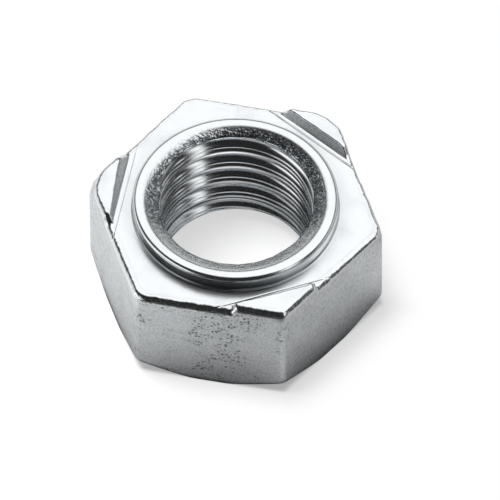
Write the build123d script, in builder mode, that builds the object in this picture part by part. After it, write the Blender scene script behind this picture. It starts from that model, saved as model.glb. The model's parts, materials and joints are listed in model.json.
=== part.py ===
from build123d import *
import math
import os

# Hexagon weld nut, cold formed in one piece from low-carbon steel.
# Millimetres. The origin is the centre of the plain back face, and +Z runs up
# the thread axis to the collar and the three welding lugs. A flat faces -Y.

# Hexagon
across_flats = 18.7
hex_height = 8.45
corner_radius = 0.6
rim_radius = 0.22

# Back face: a cone outside this circle takes off the hexagon's corners
back_face_diameter = 18.8
back_chamfer_angle = 36.0

# Lug side: the corners roll in, where the steel didn't fill the die
roll_in_radius = 5.0
roll_in_depth = 1.6

# Welding lugs, on every second corner. The straight inner wall of each leans
# outwards, and meets the hexagon at this distance from the axis.
lug_height = 0.55
lug_wall_distance = 8.6
lug_wall_lean = 30.0
lug_edge_radius = 0.12

# Centring collar
collar_diameter = 14.8
collar_height = 1.2
collar_edge_radius = 0.15
collar_root_radius = 0.25

# Bore, at the crests of the M12 thread, with a cone into each end
bore_diameter = 10.8
collar_mouth_diameter = 13.2
collar_mouth_depth = 0.75
back_mouth_diameter = 13.4
back_mouth_depth = 1.3

# Heights and places that follow from the sizes above
lug_top = hex_height + lug_height
lug_foot = 2 * rim_radius
lug_wall_inset = lug_height * math.tan(math.radians(lug_wall_lean))
collar_top = hex_height + collar_height
corner_distance = across_flats / 2 / math.cos(math.radians(30))
chamfer_slope = math.tan(math.radians(back_chamfer_angle))
back_chamfer_height = (corner_distance - back_face_diameter / 2) * chamfer_slope
roll_in_start = hex_height - roll_in_depth
roll_in_rise = lug_top - roll_in_start
roll_in_inset = roll_in_radius - math.sqrt(roll_in_radius**2 - roll_in_rise**2)


# Hexagonal blank, as tall as the lugs
with BuildPart() as blank:
    with BuildSketch():
        RegularPolygon(across_flats / 2, side_count=6, major_radius=False)
        fillet(vertices(), corner_radius)
    extrude(amount=lug_top)

    # Turned outline that trims the corners at the back and rolls them in above
    with BuildSketch(Plane.XZ):
        with BuildLine():
            outline = Polyline(
                (0, lug_top),
                (0, 0),
                (back_face_diameter / 2, 0),
                (corner_distance, back_chamfer_height),
                (corner_distance, roll_in_start),
            )
            roll_in = RadiusArc(
                outline @ 1,
                (corner_distance - roll_in_inset, lug_top),
                -roll_in_radius,
            )
            Line(roll_in @ 1, outline @ 0)
        make_face()
    revolve(axis=Axis.Z, mode=Mode.INTERSECT)


# Space of the lugs: all that lies outside a three-sided pocket, from below the
# hexagon's rounded rim to the tops of the lugs
with BuildPart() as lug_space:
    with BuildSketch(Plane.XY.offset(lug_top)):
        Circle(corner_distance + lug_wall_distance)
    extrude(amount=-(lug_height + lug_foot))
    with BuildSketch(Plane.XY.offset(lug_top)):
        RegularPolygon(lug_wall_distance + lug_wall_inset, side_count=3, major_radius=False)
    extrude(amount=-(lug_height + lug_foot), taper=lug_wall_lean, mode=Mode.SUBTRACT)


# Welding lugs: the corners of the blank in that space
with BuildPart() as lugs:
    add(blank.part)
    add(lug_space.part, mode=Mode.INTERSECT)
    fillet(edges().group_by(Axis.Z)[-1], lug_edge_radius)


with BuildPart() as weld_nut:
    # Hexagon, with its rim rounded on the lug side, and the lugs set into it
    add(blank.part)
    split(bisect_by=Plane.XY.offset(hex_height), keep=Keep.BOTTOM)
    fillet(edges().group_by(Axis.Z)[-1], rim_radius)
    add(lug_space.part, mode=Mode.SUBTRACT)
    add(lugs.part)

    # Centring collar
    with BuildSketch(Plane.XY.offset(hex_height)):
        Circle(collar_diameter / 2)
    extrude(amount=collar_height)
    fillet(edges().group_by(Axis.Z)[-1], collar_edge_radius)
    arcs = edges().filter_by(GeomType.CIRCLE)
    arcs_on_hexagon = arcs.filter_by(lambda arc: math.isclose(arc.center().Z, hex_height))
    fillet(arcs_on_hexagon.sort_by(SortBy.RADIUS)[0], collar_root_radius)

    # Bore right through, with the cones that lead a screw in
    with BuildSketch(Plane.XZ):
        with BuildLine():
            Polyline(
                (0, 0),
                (back_mouth_diameter / 2, 0),
                (bore_diameter / 2, back_mouth_depth),
                (bore_diameter / 2, collar_top - collar_mouth_depth),
                (collar_mouth_diameter / 2, collar_top),
                (0, collar_top),
                close=True,
            )
        make_face()
    revolve(axis=Axis.Z, mode=Mode.SUBTRACT)

weld_nut.part.label = "weld_nut"

os.makedirs("parts", exist_ok=True)
export_step(weld_nut.part, "parts/weld_nut.step")
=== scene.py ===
"""Hexagon weld nut in bright zinc plate: its cut thread, its finish and a small studio."""

import json
import math

import bmesh
import bpy
import numpy as np
from mathutils import Matrix, Vector


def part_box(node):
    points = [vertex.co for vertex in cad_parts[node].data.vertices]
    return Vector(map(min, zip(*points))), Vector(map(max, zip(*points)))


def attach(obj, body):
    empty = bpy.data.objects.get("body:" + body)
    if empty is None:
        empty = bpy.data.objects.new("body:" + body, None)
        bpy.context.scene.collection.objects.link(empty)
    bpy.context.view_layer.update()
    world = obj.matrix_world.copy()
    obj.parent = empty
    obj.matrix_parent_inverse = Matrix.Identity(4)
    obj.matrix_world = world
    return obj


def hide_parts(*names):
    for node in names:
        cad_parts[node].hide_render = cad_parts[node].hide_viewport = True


bl_info = {
    "name": "Weld Nut",
    "version": (1, 0, 0),
    "blender": (4, 5, 0),
    "location": "View3D > Sidebar > Weld Nut",
    "description": "Forms a hexagon weld nut with a cut thread, plates it and lights it",
    "category": "Object",
}

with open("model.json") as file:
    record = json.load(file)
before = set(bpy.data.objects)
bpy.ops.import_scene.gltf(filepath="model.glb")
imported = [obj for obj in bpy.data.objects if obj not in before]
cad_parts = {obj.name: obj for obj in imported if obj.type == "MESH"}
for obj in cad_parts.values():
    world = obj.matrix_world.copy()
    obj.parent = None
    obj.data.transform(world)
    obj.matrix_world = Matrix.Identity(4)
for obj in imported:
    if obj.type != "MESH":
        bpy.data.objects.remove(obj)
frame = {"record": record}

MM = 0.001
FULL_TURN = 2 * math.pi
SEXTANT = math.pi / 3

BOX_LOW, BOX_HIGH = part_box("weld_nut")
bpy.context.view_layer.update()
MOUNTS = {mount["name"]: mount for mount in frame["record"]["mounts"]}
LUG_TOP = MOUNTS["lug_face"]["pos_m"][2]

# The lugs differ a little, as they do on a real nut: how much of the lean each wall
# has, how far it stands from its place, how far its head turns from its foot, how
# much the lug's corner rolls in, and the way that the rim takes to climb at the
# lug's two ends. All three tops slope a little.
LUG_LEANS = (1.0, 1.0, 0.35)
LUG_SHIFTS = (0.0, -0.18 * MM, -0.22 * MM)
LUG_TWISTS = (0.0, -0.07, 0.03)
LUG_ROLLS = (1.25, 1.3, 0.5)
LUG_CLIMBS = ((0.65 * MM, 0.4 * MM), (0.65 * MM, 0.3 * MM), (0.04 * MM, 0.08 * MM))
LUG_SLOPE = 0.2

# Bare zinc, zinc at its darkest, in dark marks and in painted shade, and how far inside the foot of each
# lug's wall the line lies that is scored along it
ZINC = (0.82, 0.845, 0.86, 1)
GRIME_AND_SHADE = (0.18, 0.2, 0.215, 1)
LINE_INSET = 0.32 * MM


def length(name, description, default):
    """A size in metres, as a property."""
    return bpy.props.FloatProperty(
        name=name,
        description=description,
        default=default,
        unit="LENGTH",
        precision=5,
    )


def angle(name, description, degrees):
    """An angle, as a property."""
    return bpy.props.FloatProperty(
        name=name,
        description=description,
        default=math.radians(degrees),
        subtype="ANGLE",
    )


def amount(name, description, default):
    """A plain number, as a property."""
    return bpy.props.FloatProperty(name=name, description=description, default=default)


def count(name, description, default):
    """A whole number, as a property."""
    return bpy.props.IntProperty(name=name, description=description, default=default)


class NutSizes(bpy.types.PropertyGroup):
    """Sizes of the pressed nut."""

    across_flats: length("Across flats", "Width between two flats", BOX_HIGH.y - BOX_LOW.y)
    hex_height: length("Hexagon height", "Back face to the hexagon's top", LUG_TOP - 0.55 * MM)
    corner_radius: length("Corner radius", "Radius of the upright corners", 0.6 * MM)
    rim_radius: length("Rim radius", "Rounding of the hexagon's rim on the lug side", 0.4 * MM)
    rim_lean: amount("Rim lean", "How much rounder the rim is in front than at the back", 0.5)
    back_face_radius: length("Back face radius", "Circle where the back cone starts", 9.4 * MM)
    back_chamfer: angle("Back chamfer", "Slope of the back cone from the face", 36)
    back_edge_radius: length("Back edge radius", "Rounding of the back cone's edges", 0.6 * MM)
    roll_in_radius: length("Roll-in radius", "Radius that the corners roll in on", 5 * MM)
    roll_in_depth: length("Roll-in depth", "How far down the corners start to roll in", 1.6 * MM)
    lug_wall: length("Lug wall", "Axis to the foot of a lug's inner wall", 8.6 * MM)
    lug_lean: angle("Lug lean", "Lean of a lug's inner wall from upright", 35)
    lug_edge_radius: length("Lug edge radius", "Rounding of a lug's top edges", 0.14 * MM)
    lug_root_radius: length("Lug root radius", "Hollow at the foot of a lug's wall", 0.14 * MM)
    collar_radius: length("Collar radius", "Outside of the collar", MOUNTS["collar"]["dims"]["r_mm"] * MM)
    collar_edge_radius: length("Collar edge radius", "Rounding of the collar's rim", 0.36 * MM)
    collar_root_radius: length("Collar root radius", "Hollow at the collar's foot", 0.13 * MM)
    mouth_radius: length("Mouth radius", "Inner edge of the collar's land", 6.6 * MM)
    mouth_depth: length("Mouth depth", "Depth of the cone into the collar", 0.75 * MM)
    mouth_edge_radius: length("Mouth edge radius", "Roll of the land into the cone", 0.5 * MM)
    mouth_blend: length("Mouth blend", "Depth over which the land rolls into the cone", 0.3 * MM)
    back_mouth_radius: length("Back mouth radius", "Widest part of the back cone", 6.7 * MM)
    back_mouth_depth: length("Back mouth depth", "Depth of the cone into the back", 1.3 * MM)
    lip_height: length("Lip height", "Height where the thread's skin starts in the back cone", 0.15 * MM)
    rim_wobble: length("Rim wobble", "Unevenness of the rim and the lugs' edges", 0.09 * MM)
    columns: count("Columns", "Facets round the nut", 400)
    crowding: amount("Crowding", "How much closer the facets stand at the corners", 0.5)


class ThreadSizes(bpy.types.PropertyGroup):
    """Sizes of the cut thread."""

    pitch: length("Pitch", "Rise of one turn", 1.75 * MM)
    crest_radius: length("Crest radius", "Axis to the thread's crests", MOUNTS["thread"]["dims"]["r_mm"] * MM)
    root_radius: length("Root radius", "Axis to the bottom of the groove", 5.89 * MM)
    crest_width: length("Crest width", "Flat left between two grooves", 0.72 * MM)
    roundness: amount("Roundness", "Power of the groove's curve: 1 is a sharp V, 2 is a bowl", 2.0)
    crest_blend: length("Crest blend", "Reach of the rounding at the crests", 0.05 * MM)
    crest_slope: amount("Crest slope", "How fast the crest falls away above its seam", 0.15)
    seam_width: length("Seam width", "Seam that forming leaves along the crest", 0.36 * MM)
    seam_rise: length("Seam rise", "How far the seam lies above the crest's middle", 0.13 * MM)
    seam_depth: length("Seam depth", "Depth of the seam along the crest", 0.26 * MM)
    start: amount("Start", "Where the groove starts, in turns", 0.604)
    rows: count("Rows", "Facets along one pitch", 26)


class Studio(bpy.types.PropertyGroup):
    """Camera, floor and light."""

    azimuth: angle("Azimuth", "Camera's turn round the nut", 11.73)
    elevation: angle("Elevation", "Camera's height above the floor", 52.51)
    roll: angle("Roll", "Camera's tilt about its own axis", 0.29)
    distance: length("Distance", "Camera to the nut's base", 1.4248)
    lens: amount("Lens", "Focal length in millimetres", 1422.55)
    aim_right: length("Aim right", "Sideways shift of the camera", 1.02 * MM)
    aim_up: length("Aim up", "Upward shift of the camera", 2.13 * MM)


# Node trees --------------------------------------------------------------


class Wire:
    """A socket of a node tree. Sums on it add Math nodes to its tree."""

    def __init__(self, net, socket):
        self.net = net
        self.socket = socket

    def __add__(self, other):
        return self.net.math("ADD", self, other)

    __radd__ = __add__

    def __sub__(self, other):
        return self.net.math("SUBTRACT", self, other)

    def __rsub__(self, other):
        return self.net.math("SUBTRACT", other, self)

    def __mul__(self, other):
        return self.net.math("MULTIPLY", self, other)

    __rmul__ = __mul__

    def __truediv__(self, other):
        return self.net.math("DIVIDE", self, other)

    def __rtruediv__(self, other):
        return self.net.math("DIVIDE", other, self)

    def __pow__(self, other):
        return self.net.math("POWER", self, other)


class Net:
    """A node tree, and the nodes that are added to it."""

    def __init__(self, tree):
        self.tree = tree

    def node(self, kind, settings=None, sockets=None):
        """Adds a node: its settings first, then the values or links of its sockets."""
        made = self.tree.nodes.new(kind)
        for key, value in (settings or {}).items():
            setattr(made, key, value)
        for key, value in (sockets or {}).items():
            self.feed(made.inputs[key], value)
        return made

    def feed(self, socket, value):
        """Links a wire to a socket, or sets its value."""
        if isinstance(value, Wire):
            self.tree.links.new(value.socket, socket)
        else:
            socket.default_value = value

    def out(self, kind, settings=None, sockets=None, output=0):
        """Adds a node and gives one of its outputs."""
        return Wire(self, self.node(kind, settings, sockets).outputs[output])

    def math(self, operation, *values, clamp=False):
        """A Math node on wires and numbers."""
        settings = {"operation": operation, "use_clamp": clamp}
        return self.out("ShaderNodeMath", settings, dict(enumerate(values)))

    def smooth(self, value, low, high, to_low=0.0, to_high=1.0):
        """Rises smoothly from to_low to to_high as value goes from low to high."""
        sockets = {"Value": value, "From Min": low, "From Max": high, "To Min": to_low, "To Max": to_high}
        settings = {"interpolation_type": "SMOOTHSTEP"}
        return self.out("ShaderNodeMapRange", settings, sockets, "Result")

    def vector(self, x=0.0, y=0.0, z=0.0):
        """A vector from three wires or numbers."""
        return self.out("ShaderNodeCombineXYZ", {}, {"X": x, "Y": y, "Z": z})

    def scale(self, vector, factors):
        """A vector times three factors."""
        settings = {"operation": "MULTIPLY"}
        return self.out("ShaderNodeVectorMath", settings, {0: vector, 1: factors}, "Vector")

    def dot(self, vector, direction):
        """How far a vector reaches along a direction."""
        settings = {"operation": "DOT_PRODUCT"}
        return self.out("ShaderNodeVectorMath", settings, {0: vector, 1: direction}, "Value")

    def noise(self, vector, scale, detail, roughness):
        """Soft noise between nought and one."""
        sockets = {"Vector": vector, "Scale": scale, "Detail": detail, "Roughness": roughness}
        return self.out("ShaderNodeTexNoise", {}, sockets)

    def split(self, vector):
        """The three parts of a vector."""
        parts = self.node("ShaderNodeSeparateXYZ", {}, {"Vector": vector})
        return [Wire(self, socket) for socket in parts.outputs]


def hexagon_reach_at(net, place):
    """How far a place lies out towards its nearest flat."""
    reach = 0.0
    for k in range(3):
        way = SEXTANT * (k + 0.5)
        side = net.math("ABSOLUTE", net.dot(place, (math.cos(way), math.sin(way), 0)))
        reach = net.math("MAXIMUM", reach, side)
    return reach


# Thread ------------------------------------------------------------------


def bore_tree(nut, thread):
    """Geometry Nodes for the inside of the bore: a helical groove between two cones.

    A flat grid is wrapped round the axis. Its rows climb one pitch each turn, so
    that every crest and every root lies along a row.
    """
    tree = bpy.data.node_groups.new("tapped_bore", "GeometryNodeTree")
    net = Net(tree)
    sizes = {
        "Pitch": thread.pitch,
        "Crest radius": thread.crest_radius,
        "Root radius": thread.root_radius,
        "Crest width": thread.crest_width,
        "Roundness": thread.roundness,
        "Crest blend": thread.crest_blend,
        "Crest slope": thread.crest_slope,
        "Seam width": thread.seam_width,
        "Seam depth": thread.seam_depth,
        "Seam rise": thread.seam_rise,
        "Start": thread.start,
        "Low": nut.lip_height,
        "High": BOX_HIGH.z - nut.mouth_blend,
        "Mouth radius": nut.mouth_radius,
        "Mouth slope": (nut.mouth_radius - thread.crest_radius) / nut.mouth_depth,
        "Mouth height": BOX_HIGH.z,
        "Back mouth radius": nut.back_mouth_radius,
        "Back slope": (nut.back_mouth_radius - thread.crest_radius) / nut.back_mouth_depth,
        "Crowding": nut.crowding,
    }
    for name in sizes:
        tree.interface.new_socket(name, in_out="INPUT", socket_type="NodeSocketFloat")
    for name in ("Columns", "Rows"):
        tree.interface.new_socket(name, in_out="INPUT", socket_type="NodeSocketInt")
    tree.interface.new_socket("Material", in_out="INPUT", socket_type="NodeSocketMaterial")
    tree.interface.new_socket("Bore", in_out="OUTPUT", socket_type="NodeSocketGeometry")
    entry = net.node("NodeGroupInput")
    given = {socket.name: Wire(net, socket) for socket in entry.outputs if socket.name}

    grid = net.out(
        "GeometryNodeMeshGrid",
        {},
        {
            "Size X": 1.0,
            "Size Y": 1.0,
            "Vertices X": given["Columns"] + 1,
            "Vertices Y": given["Rows"] + 1,
        },
    )
    across, along, _ = net.split(net.out("GeometryNodeInputPosition"))
    even = (across + 0.5) * FULL_TURN
    turn = even - net.math("SINE", even * 6) * given["Crowding"] / 6

    # Rows of the groove: the grid's height, sheared by one pitch a turn
    pitch = given["Pitch"]
    rise = given["Rows"] * pitch / thread.rows
    height = given["Low"] - pitch + (along + 0.5) * rise + pitch * turn / FULL_TURN
    height = net.math("MINIMUM", net.math("MAXIMUM", height, given["Low"]), given["High"])

    # Groove with a rounded root, and a crest with a seam that forming leaves
    turns = height / pitch - turn / FULL_TURN + given["Start"]
    off_root = net.math("ABSOLUTE", net.math("FRACT", turns) - 0.5) * pitch
    share = off_root * 2 / (pitch - given["Crest width"])
    depth = given["Root radius"] - given["Crest radius"]
    groove = given["Root radius"] - depth * share ** given["Roundness"]
    above = (net.math("FRACT", turns + 0.5 - given["Seam rise"] / pitch) - 0.5) * pitch
    crest = given["Crest radius"] + net.math("MAXIMUM", above, 0.0) * given["Crest slope"]
    groove = net.math("SMOOTH_MAX", groove, crest, given["Crest blend"])
    beside = net.math("ABSOLUTE", above) * 2 / given["Seam width"]
    groove = groove + net.math("MAXIMUM", 1 - beside, 0.0) * given["Seam depth"]

    # Cones at the two ends
    mouth = given["Mouth radius"] - (given["Mouth height"] - height) * given["Mouth slope"]
    back = given["Back mouth radius"] - height * given["Back slope"]
    reach = net.math("MAXIMUM", groove, net.math("MAXIMUM", mouth, back))

    place = net.vector(
        reach * net.math("COSINE", turn),
        reach * net.math("SINE", turn),
        height,
    )
    bent = net.out("GeometryNodeSetPosition", {}, {"Geometry": grid, "Position": place})
    closed = net.out("GeometryNodeMergeByDistance", {}, {"Geometry": bent, "Distance": MM / 10000})
    real = net.out("GeometryNodeRealizeInstances", {}, {"Geometry": closed})
    plated = net.out(
        "GeometryNodeSetMaterial",
        {},
        {"Geometry": real, "Material": given["Material"]},
    )
    leave = net.node("NodeGroupOutput")
    net.feed(leave.inputs["Bore"], plated)
    return tree, sizes


def cut_bore(nut, thread, materials):
    """The inside of the bore as a plain mesh."""
    tree, sizes = bore_tree(nut, thread)
    maker = bpy.data.objects.new("bore_maker", bpy.data.meshes.new("bore_maker"))
    bpy.context.scene.collection.objects.link(maker)
    modifier = maker.modifiers.new("bore", "NODES")
    modifier.node_group = tree
    span = sizes["High"] - sizes["Low"]
    rows = math.ceil(span / thread.pitch * thread.rows) + thread.rows
    wanted = dict(sizes, Columns=nut.columns, Rows=rows, Material=materials["tapped"])
    for item in tree.interface.items_tree:
        if item.in_out == "INPUT":
            modifier[item.identifier] = wanted[item.name]
    maker.update_tag()
    graph = bpy.context.evaluated_depsgraph_get()
    mesh = bpy.data.meshes.new_from_object(maker.evaluated_get(graph))
    bpy.data.objects.remove(maker)
    order = list(materials)
    top, margin = sizes["Mouth height"], 0.01 * MM
    for face in mesh.polygons:
        x, y, height = face.center
        mouth = sizes["Mouth radius"] - (top - height) * sizes["Mouth slope"]
        back = sizes["Back mouth radius"] - height * sizes["Back slope"]
        on_cone = math.hypot(x, y) < max(mouth, back) + margin
        face.material_index = order.index("cone" if on_cone else "tapped")
    return mesh


# Pressed shape -----------------------------------------------------------


def column_angles(nut):
    """Angles of the facets round the nut, closer together at the corners."""
    even = np.arange(nut.columns) * FULL_TURN / nut.columns
    return even - nut.crowding / 6 * np.sin(6 * even)


def hexagon_reach(nut, angles):
    """Axis to the hexagon's outline, with rounded corners, at each angle."""
    off_corner = (angles + SEXTANT / 2) % SEXTANT - SEXTANT / 2
    apothem = nut.across_flats / 2
    flat = apothem / np.cos(SEXTANT / 2 - np.abs(off_corner))
    centre = (apothem - nut.corner_radius) / math.cos(SEXTANT / 2)
    across = centre * np.sin(off_corner)
    arc = centre * np.cos(off_corner) + np.sqrt(np.maximum(nut.corner_radius**2 - across**2, 0))
    tangent = math.atan2(nut.corner_radius / 2, centre + nut.corner_radius * math.cos(SEXTANT / 2))
    return np.where(np.abs(off_corner) < tangent, arc, flat)


def roll_in_reach(nut, height, share):
    """Axis to the outline that rolls the corners in, at each height."""
    widest = nut.across_flats / 2 / math.cos(SEXTANT / 2)
    rise = np.maximum(height - (nut.hex_height - nut.roll_in_depth), 0)
    return widest - share * (nut.roll_in_radius - np.sqrt(nut.roll_in_radius**2 - rise**2))


def roll_in_start(nut, reach, share):
    """Height where the rolled-in outline meets the hexagon, at each reach."""
    widest = nut.across_flats / 2 / math.cos(SEXTANT / 2)
    inset = np.minimum((widest - reach) / share, nut.roll_in_radius)
    rise = np.sqrt(nut.roll_in_radius**2 - (nut.roll_in_radius - inset) ** 2)
    return nut.hex_height - nut.roll_in_depth + rise


def wobble(angles, size, seed):
    """Small waves round the nut, from nought down to minus size."""
    random = np.random.default_rng(seed)
    waves = np.zeros_like(angles)
    for turns in range(9, 90, 3):
        waves += np.sin(turns * angles + random.uniform(0, FULL_TURN)) / math.sqrt(turns)
    return size * (waves / np.abs(waves).max() - 1) / 2


def round_corners(points, radii, steps, spans, finishes):
    """Rings of a profile whose corners are rounded, for every column at once.

    points is (corners, columns, 2). Each corner but the first and last becomes an
    arc of its radius in so many steps, and each straight gets its spans between.
    Two arcs that meet share their straight in proportion to their radii.
    finishes holds a pair for each corner: the straight before it, and its arc.
    """
    rings = [points[0]]
    coats = []
    last = points[0]
    for k in range(1, len(points) - 1):
        back = points[k - 1] - points[k]
        on = points[k + 1] - points[k]
        back_length = np.linalg.norm(back, axis=1, keepdims=True) + 1e-9
        on_length = np.linalg.norm(on, axis=1, keepdims=True) + 1e-9
        back = back / back_length
        on = on / on_length
        half = np.arccos(np.clip((back * on).sum(axis=1, keepdims=True), -1, 1)) / 2
        back_room = back_length / (radii[k] + radii[k - 1] + 1e-9)
        on_room = on_length / (radii[k] + radii[k + 1] + 1e-9)
        room = 0.94 * radii[k] * np.minimum(back_room, on_room)
        reach = np.minimum(radii[k] / np.maximum(np.tan(half), 1e-6), room)
        start = points[k] + back * reach
        end = points[k] + on * reach
        for share in spans[k]:
            rings.append(last + (start - last) * share)
        weight = np.sin(half)
        for t in np.linspace(0, 1, steps[k] + 1):
            whole = (1 - t) ** 2 + 2 * weight * t * (1 - t) + t**2
            ring = start * (1 - t) ** 2 + points[k] * 2 * weight * t * (1 - t) + end * t**2
            rings.append(ring / whole)
        coats += [finishes[k][0]] * (len(spans[k]) + 1) + [finishes[k][1]] * steps[k]
        last = end
    for share in spans[-1]:
        rings.append(last + (points[-1] - last) * share)
    rings.append(points[-1])
    coats += [finishes[-1][0]] * (len(spans[-1]) + 1)
    return np.array(rings), coats


def profile_rings(nut, bore_radius, angles):
    """Rings of the outside, from the back cone's lip, round the nut, to the mouth."""
    reach = hexagon_reach(nut, angles)
    same = np.ones_like(angles)
    lip = nut.lip_height
    top = BOX_HIGH.z

    # The rim climbs on to each lug at the two ends of the lug's wall
    lug = np.floor(angles / (2 * SEXTANT)).astype(int) % 3
    off_lug = angles % (2 * SEXTANT) - SEXTANT
    share = np.where(np.abs(off_lug) < SEXTANT / 2, np.array(LUG_ROLLS)[lug], 1.0)
    along = np.cos(off_lug)
    lug_height = LUG_TOP - nut.hex_height
    rim_radius = nut.rim_radius * (1 - nut.rim_lean * np.sin(angles))
    room = rim_radius + nut.lug_edge_radius / 2
    wall = nut.lug_wall + np.array(LUG_SHIFTS)[lug]
    before, after = np.array(LUG_CLIMBS)[lug].T
    run = np.where(off_lug < 0, before, after)
    ahead = np.clip(((reach - room) * along - wall) / run, 0, 1)
    rim = nut.hex_height + lug_height * ahead**2 * (3 - 2 * ahead)
    rim_reach = np.minimum(reach, roll_in_reach(nut, rim, share))
    rim_reach = rim_reach + wobble(angles, nut.rim_wobble, 5)
    inner = rim_reach - room

    # Foot and head of each lug's wall. Away from the lugs the two lie close
    # together, inside the rim. The lug's top rises from a low rim to the head.
    gap = 0.01 * MM
    lean = math.tan(nut.lug_lean) * np.array(LUG_LEANS)[lug]
    across = along - np.array(LUG_TWISTS)[lug] * np.sin(off_lug)
    foot = np.minimum(wall / along, inner - gap)
    wall = wall - wobble(angles, nut.rim_wobble, 8)
    head = (rim - nut.hex_height + LUG_SLOPE * rim_reach) * lean + wall
    head = head / (across + LUG_SLOPE * lean)
    head = np.minimum(head, (wall + lug_height * lean) / across)
    head = np.minimum(np.maximum(head, foot + gap), inner)
    head_height = np.clip(nut.hex_height + (head * across - wall) / lean, rim, LUG_TOP)
    head_height = np.where(ahead > 0, head_height, rim)

    least = 0.03 * MM
    back_face = np.minimum(nut.back_face_radius, reach - least)
    shoulder = (reach - back_face) * math.tan(nut.back_chamfer)
    roll_span = 2.2 * MM
    rolling = np.minimum(roll_in_start(nut, reach, share), rim - roll_span)

    def rolled(part):
        height = rolling + (rim - rolling) * part
        return np.minimum(reach, roll_in_reach(nut, height, share)), height

    back_slope = (nut.back_mouth_radius - bore_radius) / nut.back_mouth_depth
    mouth_slope = (nut.mouth_radius - bore_radius) / nut.mouth_depth
    lip_radius = 0.15 * MM
    corners = [
        # reach, height, radius, steps, spans of the straight before, finishes of both
        (same * (nut.back_mouth_radius - lip * back_slope), same * lip, 0, 0, (), ()),
        (same * nut.back_mouth_radius, same * 0, lip_radius, 3, (), ("cone", "cone")),
        (back_face, same * 0, nut.back_edge_radius, 3, (0.03, 0.5, 0.97), ("pressed", "rolled")),
        (reach, shoulder, nut.back_edge_radius, 3, (0.5,), ("rolled", "rolled")),
        (reach, rolling, nut.back_edge_radius, 2, (0.03, 0.3, 0.6, 0.97), ("rolled", "rolled")),
        (*rolled(0.33), 0, 0, (), ("rolled", "rolled")),
        (*rolled(0.66), 0, 0, (), ("rolled", "rolled")),
        (rim_reach, rim, rim_radius[:, None], 6, (), ("rolled", "pressed")),
        (head, head_height, nut.lug_edge_radius, 3, (0.05, 0.5, 0.95), ("pressed", "pressed")),
        (foot, same * nut.hex_height, nut.lug_root_radius, 3, (), ("sheared", "pressed")),
        (
            same * nut.collar_radius,
            same * nut.hex_height,
            nut.collar_root_radius,
            5,
            (0.05, 0.3, 0.6, 0.95),
            ("pressed", "pressed"),
        ),
        (
            same * nut.collar_radius,
            same * top,
            nut.collar_edge_radius,
            5,
            (0.1, 0.5, 0.9),
            ("pressed", "pressed"),
        ),
        (
            same * nut.mouth_radius,
            same * top,
            nut.mouth_edge_radius,
            6,
            (0.1, 0.5, 0.9),
            ("pressed", "cone"),
        ),
        (
            same * (nut.mouth_radius - nut.mouth_blend * mouth_slope),
            same * (top - nut.mouth_blend),
            0,
            0,
            (),
            ("cone", "cone"),
        ),
    ]
    points = np.array([np.stack((corner[0], corner[1]), axis=1) for corner in corners])
    radii, steps, spans, finishes = zip(*(corner[2:] for corner in corners))
    return round_corners(points, radii, steps, spans, finishes)


def pressed_mesh(nut, bore_radius, materials):
    """The outside of the nut as an open skin of rings."""
    angles = column_angles(nut)
    rings, coats = profile_rings(nut, bore_radius, angles)
    places = np.stack(
        (
            rings[:, :, 0] * np.cos(angles),
            rings[:, :, 0] * np.sin(angles),
            rings[:, :, 1],
        ),
        axis=2,
    )
    rows, columns = places.shape[:2]
    faces = []
    for row in range(rows - 1):
        for column in range(columns):
            after = (column + 1) % columns
            faces.append(
                (
                    row * columns + column,
                    row * columns + after,
                    (row + 1) * columns + after,
                    (row + 1) * columns + column,
                )
            )
    mesh = bpy.data.meshes.new("pressed")
    mesh.from_pydata(places.reshape(-1, 3).tolist(), [], faces)
    order = list(materials)
    for row, coat in enumerate(coats):
        for column in range(columns):
            mesh.polygons[row * columns + column].material_index = order.index(coat)
    return mesh


def weld_meshes(meshes):
    """One closed mesh from open skins that meet at their rims."""
    work = bmesh.new()
    for mesh in meshes:
        work.from_mesh(mesh)
        bpy.data.meshes.remove(mesh)
    bmesh.ops.remove_doubles(work, verts=work.verts, dist=MM / 2000)
    bmesh.ops.dissolve_degenerate(work, edges=work.edges, dist=MM / 5000)
    bmesh.ops.recalc_face_normals(work, faces=work.faces)
    open_edges = [edge for edge in work.edges if not edge.is_manifold]
    if open_edges:
        raise RuntimeError(f"the nut has {len(open_edges)} open edges")
    if work.calc_volume(signed=True) < 0:
        bmesh.ops.reverse_faces(work, faces=work.faces)
    merged = bpy.data.meshes.new("weld_nut_plated")
    work.to_mesh(merged)
    work.free()
    return merged


# Finish ------------------------------------------------------------------


def new_material(name):
    """An empty node material, as a net, with its output node."""
    material = bpy.data.materials.new(name)
    material.use_nodes = True
    material.node_tree.nodes.clear()
    net = Net(material.node_tree)
    return material, net, net.node("ShaderNodeOutputMaterial")


def object_mm(net):
    """Object coordinates in millimetres."""
    place = net.out("ShaderNodeTexCoord", {}, {}, "Object")
    return net.scale(place, (1000, 1000, 1000))


def plate(net, output, tone, roughness, relief):
    """Bright zinc: tone darkens it, relief is its height in millimetres."""
    # The tone mixes the zinc towards its darkest, for dark marks and for painted shade
    shade = net.out(
        "ShaderNodeMix",
        {"data_type": "RGBA"},
        {"Factor": tone, 6: ZINC, 7: GRIME_AND_SHADE},
        2,
    )
    bump = net.out(
        "ShaderNodeBump",
        {},
        {"Strength": 1.0, "Distance": MM, "Height": relief},
    )
    shader = net.out(
        "ShaderNodeBsdfPrincipled",
        {},
        {
            "Base Color": shade,
            "Metallic": 1.0,
            "Roughness": roughness,
            "Normal": bump,
        },
    )
    net.feed(output.inputs["Surface"], shader)


def lug_lines(net, place, nut):
    """A faint scored line on the top face along each lug, one at the line."""
    line = 0
    for k in range(3):
        way = SEXTANT * (2 * k + 1)
        reach = net.dot(place, (math.cos(way), math.sin(way), 0))
        line_reach = (nut.lug_wall - LINE_INSET + LUG_SHIFTS[k]) / MM
        off = net.math("ABSOLUTE", reach - line_reach)
        line = line + net.smooth(off, 0.0, 0.1, 1.0, 0.0)
    return line


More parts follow.
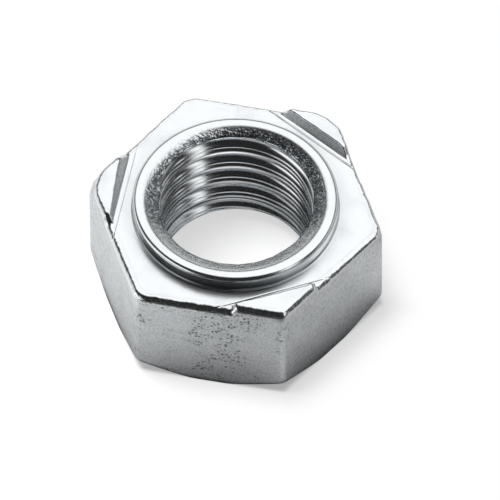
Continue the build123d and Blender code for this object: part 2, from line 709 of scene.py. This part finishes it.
def pressed_finish(nut):
    """Smooth pressed faces with faint blotches and marks, and painted shade on the near side of the collar's
    wall.
    """
    material, net, output = new_material("zinc_pressed")
    place = object_mm(net)
    blotch = net.noise(place, 0.35, 4, 0.6)
    grain = net.noise(place, 7, 3, 0.6)
    waves = net.noise(place, 0.6, 2, 0.5)
    flat = nut.across_flats / 2 / MM
    near_rim = net.smooth(hexagon_reach_at(net, place), flat - 0.65, flat - 0.25)
    worn = near_rim * net.noise(place, 3.5, 1, 0.5)
    relief = grain * 0.0012 + waves * 0.02 + worn * 0.035 - lug_lines(net, place, nut) * 0.02
    tone = net.smooth(blotch, 0.45, 0.75, 0.0, 0.12) + net.smooth(grain, 0.6, 0.8, 0.0, 0.06)
    x, y, height = net.split(place)
    reach = (x * x + y * y) ** 0.5
    wall = nut.collar_radius / MM
    base = nut.hex_height / MM
    top = BOX_HIGH.z / MM
    foot = net.smooth(reach, wall + 1.4, wall + 0.2) * net.smooth(height, base + 0.15, base + 0.05)
    # Painted shade: the near side of the collar's wall is darkened, more towards its foot, for the dark that
    # it reflects there
    painted_wall_shade = net.smooth(reach, wall + 0.4, wall + 0.1) * net.smooth(height, top - 0.15, base + 0.25)
    painted_wall_shade = painted_wall_shade * net.smooth(y, -3, -6)
    plate(net, output, tone + painted_wall_shade * 0.7, 0.16 + blotch * 0.1 + foot * 0.1, relief)
    return material


def rolled_finish(nut):
    """Flats of the drawn bar: pitted, with fine lengthwise marks."""
    material, net, output = new_material("zinc_rolled")
    place = object_mm(net)
    patches = net.noise(place, 0.35, 3, 0.6)
    cells = net.node("ShaderNodeTexVoronoi", {}, {"Vector": place, "Scale": 4.2})
    chosen, size, _ = net.split(Wire(net, cells.outputs["Color"]))
    near = Wire(net, cells.outputs["Distance"]) + net.noise(place, 9, 2, 0.6) * 0.7
    pit = net.smooth(near - size * 0.35, 0.56, 0.32) * net.smooth(chosen, 0.4, 0.7)
    grain = net.noise(net.scale(place, (1.0, 1.0, 0.7)), 6, 4, 0.7)
    flat = nut.across_flats / 2 / MM
    front = net.smooth(net.split(place)[1], 0.85 - flat, 0.15 - flat, 0.3, 1.0)
    patch = net.smooth(patches, 0.44, 0.56)
    speck = net.smooth(net.noise(net.scale(place, (0.7, 0.7, 1)), 6, 1, 0.5), 0.62, 0.72)
    streak = net.smooth(net.noise(net.scale(place, (0.4, 0.4, 5)), 1, 3, 0.6), 0.5, 0.75)
    depth = (pit + speck * (0.3 + patch * 0.7)) * patch * front
    relief = grain * 0.01 - depth * 0.02 + net.noise(place, 0.5, 2, 0.5) * 0.03
    tone = depth * 0.7 + net.smooth(grain, 0.35, 0.7, 0.0, 0.35) + streak * 0.15 + patch * 0.05
    plate(net, output, tone, 0.32 + grain * 0.1, relief)
    return material


def sheared_finish():
    """Torn inner walls of the lugs."""
    material, net, output = new_material("zinc_sheared")
    place = object_mm(net)
    grain = net.noise(place, 6, 4, 0.7)
    half = 0.28
    edge = net.math("ABSOLUTE", net.split(place)[2] - (LUG_TOP / MM - half))
    tone = net.smooth(grain, 0.35, 0.7, 0.0, 0.4) + net.smooth(edge, 0.1, half) * 0.5
    plate(net, output, tone, 0.5, grain * 0.06)
    return material


def cone_finish(nut):
    """Countersinks: coarse grain from the punch, with painted highlights on the near side and at the back
    left, and painted shade at the back and sides.
    """
    material, net, output = new_material("zinc_cone")
    place = object_mm(net)
    coarse = net.noise(place, 3, 3, 0.6)
    grain = net.noise(place, 6, 1, 0.4)
    x, y, height = net.split(place)
    top = BOX_HIGH.z / MM
    deep = net.smooth(height, top, top - nut.mouth_blend / MM)
    # Painted highlight: the grain is lighter at the back left, where the cone reflects a highlight
    painted_highlight = net.smooth(y * 0.59 - x * 0.81, 4.8, 6.2, 1.0, 0.55)
    # Painted reflection: the grain is much lighter on the near side and darker at the back and sides, for the
    # bright and dark that the cone reflects there
    painted_reflection = net.smooth(y * 0.98 - x * 0.2, -3.6, -1.0, 0.08, 1.85)
    speckle = net.out("ShaderNodeTexVoronoi", {}, {"Vector": place, "Scale": 8.0}, "Color")
    spot = net.split(speckle)[0]
    tone = net.smooth(coarse, 0.35, 0.65, 0.1, 0.5) + net.smooth(spot, 0.3, 1.0, 0.0, 0.7)
    relief = (coarse * 0.05 + grain * 0.055) * deep
    tone = tone * deep * painted_highlight * painted_reflection
    plate(net, output, tone, 0.22 + spot * 0.1, relief)
    return material


def tapped_finish(thread):
    """Thread flanks with fine lines along the cut."""
    material, net, output = new_material("zinc_tapped")
    place = object_mm(net)
    x, y, z = net.split(place)
    turn = net.math("ARCTAN2", y, x)
    pitch = thread.pitch / MM
    climb = (z - turn * pitch / FULL_TURN) * FULL_TURN / pitch
    loop = 1.5
    along = net.vector(net.math("COSINE", climb) * loop, net.math("SINE", climb) * loop, turn * 0.6)
    fine = net.noise(along, 5, 3, 0.6)
    tone = net.smooth(fine, 0.45, 0.8, 0.0, 0.25)
    plate(net, output, tone, 0.12 + fine * 0.08, fine * 0.003)
    return material


def plate_finishes(nut, thread):
    """The finishes of the nut, by name."""
    return {
        "pressed": pressed_finish(nut),
        "rolled": rolled_finish(nut),
        "sheared": sheared_finish(),
        "cone": cone_finish(nut),
        "tapped": tapped_finish(thread),
    }


# Studio ------------------------------------------------------------------


def studio_axes(studio):
    """The camera's right, its level way forward, and up."""
    right = Vector((math.cos(studio.azimuth), math.sin(studio.azimuth), 0))
    forward = Vector((-math.sin(studio.azimuth), math.cos(studio.azimuth), 0))
    return right, forward, Vector((0, 0, 1))


def place_camera(studio):
    """A long lens, high in front of the nut."""
    right, level, up = studio_axes(studio)
    forward = level * math.cos(studio.elevation) - up * math.sin(studio.elevation)
    above = right.cross(forward)
    place = right * studio.aim_right + above * studio.aim_up - forward * studio.distance
    tilt_right = right * math.cos(studio.roll) - above * math.sin(studio.roll)
    tilt_up = right * math.sin(studio.roll) + above * math.cos(studio.roll)
    data = bpy.data.cameras.new("camera")
    data.lens = studio.lens
    data.clip_start = 0.01
    data.clip_end = 10
    camera = bpy.data.objects.new("camera", data)
    turn = Matrix((tilt_right, tilt_up, -forward)).transposed()
    camera.matrix_world = Matrix.Translation(place) @ turn.to_4x4()
    bpy.context.scene.collection.objects.link(camera)
    bpy.context.scene.camera = camera


def build_world(studio):
    """White behind the nut, and a large soft panel overhead for the metal to reflect."""
    world = bpy.data.worlds.new("studio")
    bpy.context.scene.world = world
    world.use_nodes = True
    world.node_tree.nodes.clear()
    net = Net(world.node_tree)
    right, level, up = studio_axes(studio)
    way = net.out("ShaderNodeTexCoord", {}, {}, "Generated")
    ray = net.node("ShaderNodeLightPath")
    seen = Wire(net, ray.outputs["Is Camera Ray"])
    glossy = Wire(net, ray.outputs["Is Glossy Ray"])

    # The panel ends a little past the zenith and 36 degrees above the floor
    near = (right * -0.05 + level * 0.98 + up * 0.18).normalized()
    left = right * 0.6 + level * 0.8
    height = net.dot(way, up)
    panel = net.smooth(net.dot(way, near), -0.02, 0.02) * net.smooth(net.dot(way, left), -0.05, 0.15)
    panel = panel * net.smooth(height, 0.58, 0.68)
    glow = net.smooth(net.dot(way, level), -0.3, 0.2) * net.smooth(height, 0.5, 0.1)

    # A second, upright panel stands to the right, in front of the nut
    inner = (right * 0.759 + level * 0.629 - up * 0.169).normalized()
    outer = (right * 0.429 + level * 0.875 - up * 0.225).normalized()
    strip = net.smooth(net.dot(way, inner), -0.02, 0.02) * net.smooth(net.dot(way, outer), -0.02, -0.22)
    strip = strip * net.smooth(height, 0.0, 0.1)

    # The pale side of the room, low on the left
    side = (level * -0.4 - right * 0.9 + up * 0.15).normalized()
    pale = net.smooth(net.dot(way, side), 0.85, 0.95)
    reflected = 0.02 + panel * 1.2 + strip * 1.1 + glow * 0.8 + pale * 1.2
    light = seen + (1 - seen) * (glossy * reflected + (1 - glossy) * 0.3)
    shade = net.out("ShaderNodeBackground", {}, {"Color": (1, 1, 1, 1), "Strength": light})
    output = net.node("ShaderNodeOutputWorld")
    net.feed(output.inputs["Surface"], shade)


def lay_floor(studio):
    """A wide white floor that keeps the nut's shadow, with painted shade in what the metal reflects of it."""
    mesh = bpy.data.meshes.new("floor")
    half = 2.0
    corners = [(-half, -half, 0), (half, -half, 0), (half, half, 0), (-half, half, 0)]
    mesh.from_pydata(corners, [], [(0, 1, 2, 3)])
    floor = bpy.data.objects.new("floor", mesh)
    bpy.context.scene.collection.objects.link(floor)
    material, net, output = new_material("white_floor")
    right, level, up = studio_axes(studio)
    ray = net.node("ShaderNodeLightPath")
    seen = Wire(net, ray.outputs["Is Camera Ray"])
    place = net.out("ShaderNodeTexCoord", {}, {}, "Object")
    across = net.dot(place, (right * 0.9 - level * 0.44) * 1000)
    toward = net.dot(place, level * -1000)
    from_flat = (hexagon_reach_at(net, place) - BOX_HIGH.y) * 1000

    # What the metal reflects, painted shade on the floor: darker to the right and in front, close
    # to the nut and under its edge, and pale inside the bore except at the far wall
    dim = net.smooth(across, -12, 14, 0.66, 0.4) * net.smooth(toward, 15, 32, 1.0, 0.1)
    near = net.smooth(across, -12, -2, 0.85, 0.48) + net.smooth(across, 5, 14, 0.0, 1.5)
    dim = dim * (near + (1 - near) * net.smooth(from_flat, 0.0, 7.0))
    dim = dim * net.smooth(from_flat, 0.0, 0.4, 0.05, 1.0)
    inside = net.smooth(from_flat, -3.0, -2.0, 1.0, 0.0)
    far = net.smooth(toward, -4.5, 1.5, 0.05, 0.95)
    dim = dim + (far - dim) * inside

    # What the camera sees: white, with the nut's shadow stronger close to it
    albedo = dim + (0.92 - dim) * seen
    tint = net.vector(albedo, albedo, albedo)
    matt = net.out("ShaderNodeBsdfDiffuse", {}, {"Color": tint})
    glow = net.out("ShaderNodeEmission", {}, {"Color": (1, 1, 1, 1), "Strength": 1.0})
    lit = net.smooth(from_flat, 0.0, 3.4, 0.6, 0.98) * net.smooth(from_flat, -0.3, 0.2, 0.5, 1.0)
    lit = lit + (0.62 - lit) * inside
    mixed = net.out("ShaderNodeMixShader", {}, {0: seen * lit, 1: matt, 2: glow})
    net.feed(output.inputs["Surface"], mixed)
    mesh.materials.append(material)


def hang_lamp(studio):
    """A soft lamp high at the back left, for the shadow on the floor."""
    right, level, up = studio_axes(studio)
    data = bpy.data.lights.new("key", "AREA")
    data.shape = "DISK"
    data.size = 0.3
    data.energy = 3.2
    lamp = bpy.data.objects.new("key", data)
    place = right * -0.15 + level * 0.08 + up * 0.47
    lamp.location = place
    lamp.rotation_mode = "QUATERNION"
    lamp.rotation_quaternion = (-place).to_track_quat("-Z", "Y")
    lamp.visible_glossy = False
    lamp.visible_camera = False
    bpy.context.scene.collection.objects.link(lamp)


# Operators ---------------------------------------------------------------


class WELDNUT_OT_form_nut(bpy.types.Operator):
    """Press the hexagon, collar and lugs, cut the thread and plate the nut"""

    bl_idname = "weldnut.form_nut"
    bl_label = "Form Nut"

    def execute(self, context):
        nut = context.scene.nut_sizes
        thread = context.scene.thread_sizes
        materials = plate_finishes(nut, thread)
        skins = [
            pressed_mesh(nut, thread.crest_radius, materials),
            cut_bore(nut, thread, materials),
        ]
        mesh = weld_meshes(skins)
        for material in materials.values():
            mesh.materials.append(material)
        mesh.shade_smooth()
        piece = bpy.data.objects.new("plated_nut", mesh)
        context.scene.collection.objects.link(piece)
        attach(piece, "root")
        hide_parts("weld_nut")
        return {"FINISHED"}


class WELDNUT_OT_set_studio(bpy.types.Operator):
    """Lay the floor, hang the light and place the camera"""

    bl_idname = "weldnut.set_studio"
    bl_label = "Set Studio"

    def execute(self, context):
        studio = context.scene.nut_studio
        lay_floor(studio)
        build_world(studio)
        hang_lamp(studio)
        place_camera(studio)
        context.scene.view_settings.view_transform = "Standard"
        return {"FINISHED"}


class VIEW3D_PT_weld_nut(bpy.types.Panel):
    """Steps of the weld nut, in order."""

    bl_label = "Weld Nut"
    bl_space_type = "VIEW_3D"
    bl_region_type = "UI"
    bl_category = "Weld Nut"

    def draw(self, context):
        layout = self.layout
        for name in ("nut_sizes", "thread_sizes", "nut_studio"):
            group = getattr(context.scene, name)
            box = layout.box()
            for key in group.bl_rna.properties.keys():
                if key not in ("rna_type", "name"):
                    box.prop(group, key)
        for operator in (WELDNUT_OT_form_nut, WELDNUT_OT_set_studio):
            layout.operator(operator.bl_idname)


GROUPS = {"nut_sizes": NutSizes, "thread_sizes": ThreadSizes, "nut_studio": Studio}
CLASSES = (*GROUPS.values(), WELDNUT_OT_form_nut, WELDNUT_OT_set_studio, VIEW3D_PT_weld_nut)


def register():
    for cls in CLASSES:
        bpy.utils.register_class(cls)
    for name, group in GROUPS.items():
        setattr(bpy.types.Scene, name, bpy.props.PointerProperty(type=group))


def unregister():
    for name in GROUPS:
        delattr(bpy.types.Scene, name)
    for cls in reversed(CLASSES):
        bpy.utils.unregister_class(cls)


def main():
    register()
    bpy.ops.weldnut.form_nut()
    bpy.ops.weldnut.set_studio()


if __name__ == "__main__":
    main()
